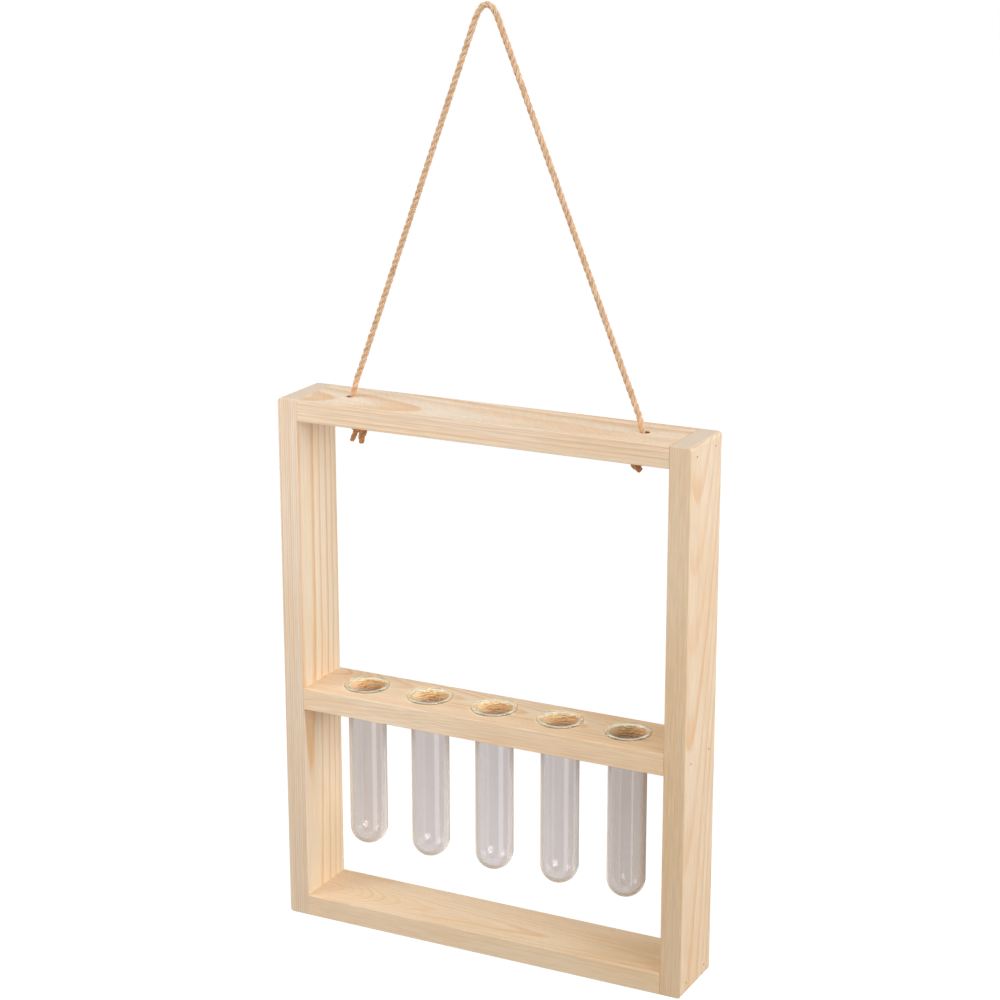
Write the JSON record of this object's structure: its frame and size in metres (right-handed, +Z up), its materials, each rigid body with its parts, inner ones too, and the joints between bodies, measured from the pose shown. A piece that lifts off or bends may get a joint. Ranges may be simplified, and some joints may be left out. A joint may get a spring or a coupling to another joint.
{
  "type": "test tube vase",
  "caption": "Hanging flower vase: a pine frame with a drilled shelf that holds a row of glass test tubes, hung on a knotted jute cord.",
  "frame": {"origin": "the hanging point: inside of the cord's loop, where a hook bears, above the middle of the frame", "axes": "+X across the frame to the right seen from the front, +Y from front to back, +Z up"},
  "size_m": [0.24, 0.04, 0.5115],
  "materials": {
    "pine": "bare, finely sanded",
    "glass": "clear, fire polished",
    "jute": "natural twisted fibre",
    "steel": "bright wire, sunk below the wood"
  },
  "bodies": {
    "cord": {"cord_loop": "jute"},
    "frame": {"left_stile": "pine", "right_stile": "pine", "top_rail": "pine", "tube_shelf": "pine", "bottom_rail": "pine", "brads": "steel", "left_cord_end": "jute", "right_cord_end": "jute", "left_knot": "jute", "right_knot": "jute"},
    "tube_1": {"tube_1": "glass"},
    "tube_2": {"tube_2": "glass"},
    "tube_3": {"tube_3": "glass"},
    "tube_4": {"tube_4": "glass"},
    "tube_5": {"tube_5": "glass"}
  },
  "joints": [
    {"name": "frame_swing", "type": "hinge", "parent": "cord", "child": "frame", "pos_m": [0, 0, -0.2066], "axis": [1, 0, 0], "range_deg": [-90, 90]},
    {"name": "tube_1_lift", "type": "slide", "parent": "frame", "child": "tube_1", "axis": [0, 0, 1], "range_m": [0, 0.1]},
    {"name": "tube_2_lift", "type": "slide", "parent": "frame", "child": "tube_2", "axis": [0, 0, 1], "range_m": [0, 0.1]},
    {"name": "tube_3_lift", "type": "slide", "parent": "frame", "child": "tube_3", "axis": [0, 0, 1], "range_m": [0, 0.1]},
    {"name": "tube_4_lift", "type": "slide", "parent": "frame", "child": "tube_4", "axis": [0, 0, 1], "range_m": [0, 0.1]},
    {"name": "tube_5_lift", "type": "slide", "parent": "frame", "child": "tube_5", "axis": [0, 0, 1], "range_m": [0, 0.1]}
  ]
}
